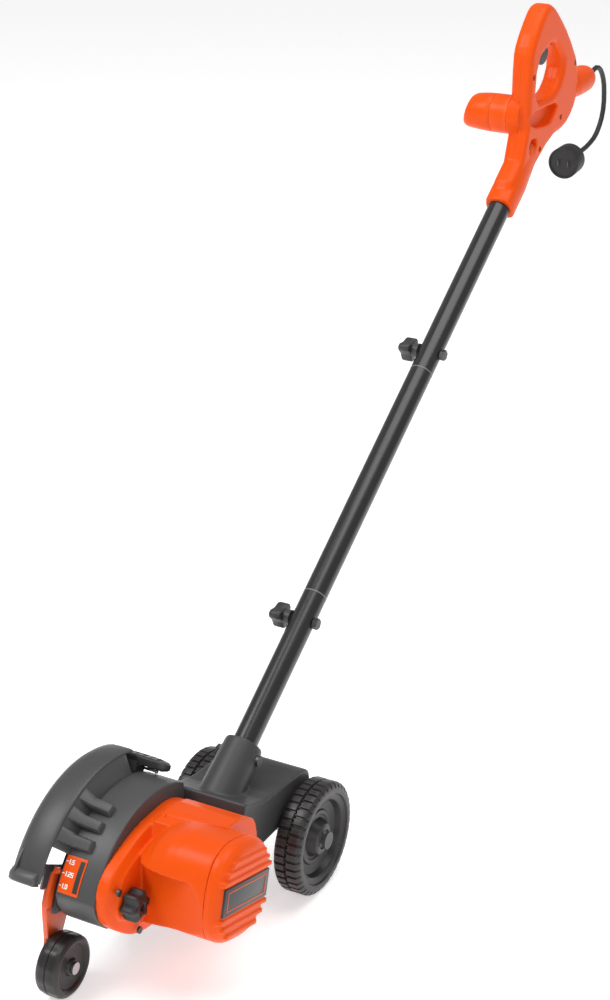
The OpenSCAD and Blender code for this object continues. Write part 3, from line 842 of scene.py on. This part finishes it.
def make_deck():
    """Deck with its axle hangers and the socket for the shaft, melted together."""
    shape = Shape().prism(soften(DECK_TOP, 1), -43.8, 43.8)
    for side in (-1, 1):
        shape.prism([(-15, 55), (-7, 48), (7, 48), (15, 55), (34, 88), (-18, 88)],
                    side * 41 - 2.8, side * 41 + 2.8)
    shape.rod(on_shaft(60), on_shaft(130.4), 22.4, 19.6, 48)
    for y in (-21, 21):
        shape.rod(on_shaft(118, 0, y * 0.8), on_shaft(118, 0, y), 7.5, 7, 32)
    piece = shape.finish("deck_skin", voxel=1.3, smooth=7, merge=False)
    mouth = Shape().rod(on_shaft(100), on_shaft(134), 12.75, 12.75, 48)
    return cut(piece, mouth.finish("mouth"))


dress(make_deck(), DECK_GREY, "chassis", "grey_plastic", "deck")


# ---------------------------------------------------------------- depth lever and arm
def make_depth_ring():
    """Ring about the spindle boss, with the slot that the clamp bolt runs in."""
    shape = Shape().sector(20.05, 38, 0, 359.9, -68, -63, steps=64)
    shape.sector(62, 104, 15, 124, -68, -63, steps=48)
    for a0, a1 in ((15, 40), (106, 124)):
        shape.sector(36, 64, a0, a1, -68, -63, steps=10)
    ring = shape.finish("depth_ring_skin", bevel=0.7, segments=2, merge=False)
    x, z = CLAMP.x - SPINDLE.x, CLAMP.z - SPINDLE.z
    radius, middle = math.hypot(x, z), math.degrees(math.atan2(z, x))
    slot = Shape().sector(radius - 4.2, radius + 4.2, middle - 9.5, middle + 9.5, -70, -60)
    return cut(ring, slot.finish("slot"))


# y, low radius, high radius and half width of the lever's pad
LEVER_PAD = (
    (-91.5, 118, 125.6, 7.2), (-89.5, 116.4, 126.8, 8.6), (-80, 115, 127.3, 9.4),
    (-70, 114.6, 127.3, 9.6), (-62, 116.2, 127.2, 9.6), (-56, 118.2, 127.0, 9.6),
    (-50, 116.6, 126.8, 9.4), (-44, 117.8, 126.3, 8.8), (-38.5, 116.8, 125.4, 7.6),
    (-35.6, 118.6, 123.8, 5.6),
)


def make_lever():
    """Thumb lever: grooved pad on a leg, wavy beneath."""
    shape = Shape()
    shape.sector(98.5, 121, 113.2, 122.2, -78, -65, steps=8)
    out, back = leaning(math.radians(118))
    shape.grid([
        [
            tuple(HUB + out * r + back * (half * s) + Vector((0, y, 0)))
            for r, s in (
                (low + 1.2, -1), (high - 1.6, -1), (high, -0.84), (high, 0.84),
                (high - 1.6, 1), (low + 1.2, 1), (low, 0.8), (low, -0.8),
            )
        ]
        for y, low, high, half in LEVER_PAD
    ])
    lever = shape.finish("depth_lever_skin", bevel=0.5, segments=2, angle=40, merge=False)
    for y in (-78, -70, -62, -54, -46):
        cut(lever, Shape().grid([
            [
                tuple(HUB + out * r + back * (6.2 * s) + Vector((0, y + d, 0)))
                for d, s in ((-1.2, -1), (1.2, -1), (1.2, 1), (-1.2, 1))
            ]
            for r in (125.9, 130)
        ]).finish("groove"))
    return lever


def make_wheel_arm():
    """Pressed orange arm, stepped outwards so that the wheel fits beneath the case."""
    eye = [flat(FRONT, math.radians(d), 10.2) for d in range(180, 361, 15)]
    outline = eye + [(270, 58), (270.6, 84), (270, 98), (264, 111), (252, 101), (240, 88),
                     (234, 67), (244, 50.6)]
    shape = Shape().prism(outline, -78.1, -74.8)
    shape.prism([(270.1, 59), (270.7, 84), (270.1, 97), (268, 97), (268.4, 84), (268, 59)],
                -77.9, -72.8)
    shape.sector(95, 103, 19, 29, -76, -70, steps=8)
    shape.sector(94, 112.5, 18, 36, -71.4, -68.1, steps=12)
    return shape.finish("wheel_arm_skin", bevel=0.5, segments=2, merge=False)


def make_pointer():
    """Pointer on the wheel arm, its tip at the label."""
    tip = math.radians(37.2)
    rings = []
    for y, spread in ((-69.5, 3.2), (-66, 3.0), (-62.6, 0.7)):
        rings.append([
            tuple(HUB + leaning(tip + s * spread / 112)[0] * r + Vector((0, y, 0)))
            for r, s in ((104, -1), (112.6, -1), (112.6, 1), (104, 1))
        ])
    return Shape().grid(rings).finish("depth_pointer", bevel=0.3, segments=2)


def make_detent():
    """Steel rod at the lever's foot, with a small head."""
    x, z = flat(SPINDLE, math.radians(119), 114.8)
    shape = Shape().rod((x, -66, z), (x, -47, z), 1.3, 1.3, 20)
    shape.rod((x, -49, z), (x, -46.6, z), 2.2, 1.8, 20)
    return shape.finish("detent_rod_skin", bevel=0.3, segments=2, merge=False)


dress(make_depth_ring(), BLACK, "depth_arm", "black_plastic", "depth_ring")
dress(make_lever(), BLACK, "depth_arm", "black_plastic")
dress(make_wheel_arm(), ARM, "depth_arm", "arm_paint", "wheel_arm")
dress(make_pointer(), ARM, "depth_arm", "arm_paint")
dress(make_detent(), STEEL, "depth_arm", "steel", "detent_rod")


# ---------------------------------------------------------------- shaft knobs and joints
def make_shaft_knob(name, s):
    """Three-lobed hand knob on a neck, on the machine's right side of the shaft."""
    spot = on_shaft(s)
    shape = Shape().rod((spot.x, -22, spot.z), (spot.x, -13.3, spot.z), 7.2, 8, 40)
    levels = ((-20.5, -1.2), (-21.8, 0), (-31.5, 0), (-33, -0.8), (-33.9, -2.6))
    shape.lobed(spot, levels, 10.2, 4.1, 0.45, 3, 96, SHAFT_ANGLE)
    return shape.finish(name, angle=50, merge=False)


JOINTS = (307, 598)


def make_joint_rings():
    """Lighter grey rings where one tube meets the next: a painted highlight line at each joint."""
    shape = Shape()
    for s in JOINTS:
        shape.rod(on_shaft(s - 0.2), on_shaft(s + 1.1), 12.82, 12.82, 64)
    return shape.finish("tube_joint_rings", bevel=0.15, segments=2, merge=False)


# The joint rings carry a painted highlight in lighter grey.
dress(make_joint_rings(), JOINT_HIGHLIGHT_LOOK, "chassis", "tube_paint")
for label, s in (("lower", 277), ("upper", 626)):
    knob = make_shaft_knob(f"{label}_shaft_knob_skin", s)
    dress(knob, BLACK, f"{label}_knob", "black_plastic", f"{label}_shaft_knob")


# ---------------------------------------------------------------- handle
HANDLE = [
    (-552, 576), (-570, 547), (-620, 580), (-676, 609), (-716, 611), (-740, 624),
    (-754, 645), (-752, 682), (-719, 722), (-690, 748), (-668, 764), (-652, 767),
    (-638, 760), (-611, 732), (-603, 712), (-603, 610),
]
LOOP = [
    (-624, 661), (-664, 657), (-692, 667), (-706, 690), (-692, 706), (-674, 720),
    (-655, 717), (-628, 707),
]
WEBS = (
    [(-608, 652), (-664, 650), (-691, 648), (-680, 634), (-665, 626), (-611, 634)],
    [(-607, 622), (-637, 618), (-613, 590)],
)
GRIP = Vector((-614.0, 0, 647.0))
SCREWS = [(-612, 612), (-640, 604), (-700, 628), (-738, 684), (-613.5, 692)]
CORNER_REACH = 1.14


def make_loop():
    """Flat part of the moulding with its finger opening, round edges and web pockets."""
    loop = Shape().prism(soften(HANDLE, 1), -12.5, 12.5).finish("handle_skin")
    cut(loop, Shape().prism(soften(LOOP, 1), -20, 20).finish("loop_tool"))
    round_edges(loop, 8.5, 5, 40)
    for web in WEBS:
        for y0, y1 in ((4, 20), (-20, -4)):
            cut(loop, Shape().prism(soften(web, 1), y0, y1).finish("web_tool"))
    return loop


def neck_rings():
    """Rounded square sections of the neck along the shaft."""
    rings = []
    for s, up, side in ((835.2, 16.0, 15.8), (837, 16.8, 16.4), (876, 17.0, 16.2),
                        (925, 16.0, 11.5)):
        ring = []
        for a in turns(40):
            cu, cs = math.cos(a), math.sin(a)
            stretch = min(1 / max(abs(cu), abs(cs)) * 0.45 + 0.55, CORNER_REACH)
            ring.append(tuple(on_shaft(s, up * cu * stretch, side * cs * stretch)))
        rings.append(ring)
    return rings


def make_handle():
    """The whole moulding: loop, neck, grip collar and cord boss."""
    loop = make_loop()
    shape = Shape()
    shape.bm.from_mesh(loop.data)
    bpy.data.objects.remove(loop)
    shape.grid(neck_rings())
    shape.rod((GRIP.x, -12.6, GRIP.z), (GRIP.x, 2, GRIP.z), 21.8, 18.6, 48)
    shape.grid([
        [(x, r * math.cos(a), 652 + r * math.sin(a)) for a in turns(40)]
        for x, r in ((-745, 13.5), (-756, 15.6), (-775, 16.4), (-794, 16.2), (-803, 14.2),
                     (-807, 10.0))
    ])
    return shape.finish("handle_skin", voxel=1.15, smooth=6, merge=False)


def hollow(handle):
    """Room in the moulding for the tube, trigger, strain relief and screws."""
    tube = Shape().rod(on_shaft(826), on_shaft(886), 12.72, 12.72, 48)
    cut(handle, tube.finish("bore"))
    trigger = [(-676, 690), (-640, 690), (-634, 722), (-640, 728), (-682, 728)]
    cut(handle, Shape().prism(trigger, -6.2, 6.2).finish("trigger_room"))
    tip = Vector(CORD_ROUTE[0])
    cut(handle, Shape().rod(tip - RELIEF_AXIS * 27, tip, 5.5).finish("relief_room"))
    for sx, sz in SCREWS:
        cut(handle, Shape().rod((sx, 9.6, sz), (sx, 18, sz), 3.4, 3.6, 24).finish("screw_room"))


def half_of(piece, name, side):
    """One shell: the part of the moulding on one side of the centre plane."""
    shell = add_object(name, piece.data.copy())
    y0, y1 = (0.12, 60) if side > 0 else (-60, -0.12)
    keep = Shape().block((-900, y0, 400), (-450, y1, 900)).finish("half_space")
    cut(shell, keep, "INTERSECT")
    shell.data.name = name
    shell.data.shade_smooth()
    shell.data.set_sharp_from_angle(angle=math.radians(50))
    return shell


handle = make_handle()
hollow(handle)
for label, side in (("left", 1), ("right", -1)):
    shell = half_of(handle, f"handle_{label}_skin", side)
    dress(shell, ORANGE, "chassis", "orange_plastic", f"handle_{label}")
bpy.data.objects.remove(handle)


def make_aux_grip():
    """Round grip on the machine's right side of the handle."""
    profile = [
        (0.01, -12.3), (21.6, -12.3), (21.9, -16), (22, -22), (21.9, -32.2), (21.5, -32.6),
        (0.01, -32.6),
    ]
    return Shape().turned(profile, GRIP).finish("aux_grip_skin", angle=40)


def make_aux_cap():
    """Tapered cap; its end slopes, so that its underside is the longer."""
    profile = [
        (0.01, -33.0), (21.4, -33.0), (21.8, -33.6), (21.5, -42), (20.8, -50), (19.8, -58),
        (18.8, -61.5), (17.0, -64.2), (14, -65.4), (0.01, -65.8),
    ]
    cap = Shape().turned(profile, GRIP).finish("aux_cap_skin", angle=40)
    start = at(0, -40, 0).y
    middle = at(0, 0, GRIP.z).z
    for v in cap.data.vertices:
        if v.co.y < start:
            v.co.y += (v.co.z - middle) * 0.25 * (start - v.co.y) / (26 * MM)
    return cap


def make_trigger():
    """Finger lever, hollowed to the finger in front."""
    outline = soften([
        (-650, 720), (-637.5, 719.5), (-636.5, 709), (-647, 699), (-657, 696.6), (-667, 701),
        (-672, 714),
    ], 2)
    return Shape().prism(outline, -5.5, 5.5).finish("trigger_skin", bevel=1.6, segments=3)


def make_trigger_pin():
    shape = Shape().rod((-643, -6.4, 714), (-643, 6.4, 714), 1.95, 1.95, 24)
    return shape.finish("trigger_pin_skin", bevel=0.3, segments=2)


def make_switch():
    """Switch block, narrower than its pocket, with a small plunger."""
    shape = Shape().prism([(-713, 713), (-704, 703.6), (-689, 718), (-697.4, 727.6)], -6, 6)
    shape.prism([(-698, 709.6), (-692, 715), (-690.6, 713.6), (-696.6, 708.2)], -2.5, 2.5)
    return shape.finish("switch_skin", bevel=0.5, segments=2, merge=False)


def make_screw_heads():
    """Round heads of the shell screws, sunk in the left shell."""
    shape = Shape()
    for sx, sz in SCREWS:
        shape.rod((sx, 9.7, sz), (sx, 11.4, sz), 3.1, 2.6, 24)
    return shape.finish("handle_screws_skin", bevel=0.3, segments=2, merge=False)


dress(make_aux_grip(), ORANGE, "chassis", "orange_plastic", "aux_grip")
dress(make_aux_cap(), ORANGE, "chassis", "orange_plastic", "aux_cap")
dress(make_trigger(), BLACK, "trigger_lever", "black_plastic", "trigger")
dress(make_trigger_pin(), STEEL, "chassis", "steel", "trigger_pin")
dress(make_switch(), BLACK, "chassis", "black_plastic", "switch")
dress(make_screw_heads(), DARK_STEEL, "chassis", "steel", "handle_screws")


# ---------------------------------------------------------------- floor and light
FLOOR_HALF = 12  # metres


def make_floor():
    """White ground with a little glow of its own."""
    mesh = bpy.data.meshes.new("floor")
    corners = [(x * FLOOR_HALF, y * FLOOR_HALF, 0) for x, y in ((-1, -1), (1, -1), (1, 1), (-1, 1))]
    mesh.from_pydata(corners, [], [(0, 1, 2, 3)])
    floor = add_object("floor", mesh)
    look = shade("floor", (0.90, 0.90, 0.90), 0.7, 0.01, 0.0)
    glow = look.node_tree.nodes["Principled BSDF"]
    glow.inputs["Emission Color"].default_value = (1, 1, 1, 1)
    glow.inputs["Emission Strength"].default_value = 0.5
    floor.data.materials.append(look)


LIGHT_TARGET = (0.3, 0.0, 0.2)
WORLD_STRENGTH = 0.38


def add_light(name, place, size, power):
    """Square lamp aimed at the machine; place and size in metres."""
    data = bpy.data.lights.new(name, "AREA")
    data.size = size
    data.energy = power
    lamp = add_object(name, data)
    lamp.location = place
    aim = (Vector(LIGHT_TARGET) - Vector(place)).to_track_quat("-Z", "Y")
    lamp.rotation_euler = aim.to_euler()


make_floor()
add_light("key", (1.3, -1.2, 2.6), 1.2, 40)
add_light("fill", (2.4, 1.8, 1.6), 2.0, 16)
add_light("top", (-0.3, 0.4, 3.0), 2.2, 44)
world = bpy.data.worlds.new("studio")
bpy.context.scene.world = world
world.use_nodes = True
sky = world.node_tree.nodes["Background"]
sky.inputs["Color"].default_value = (1, 1, 1, 1)
sky.inputs["Strength"].default_value = WORLD_STRENGTH
bpy.context.scene.view_settings.view_transform = "Standard"
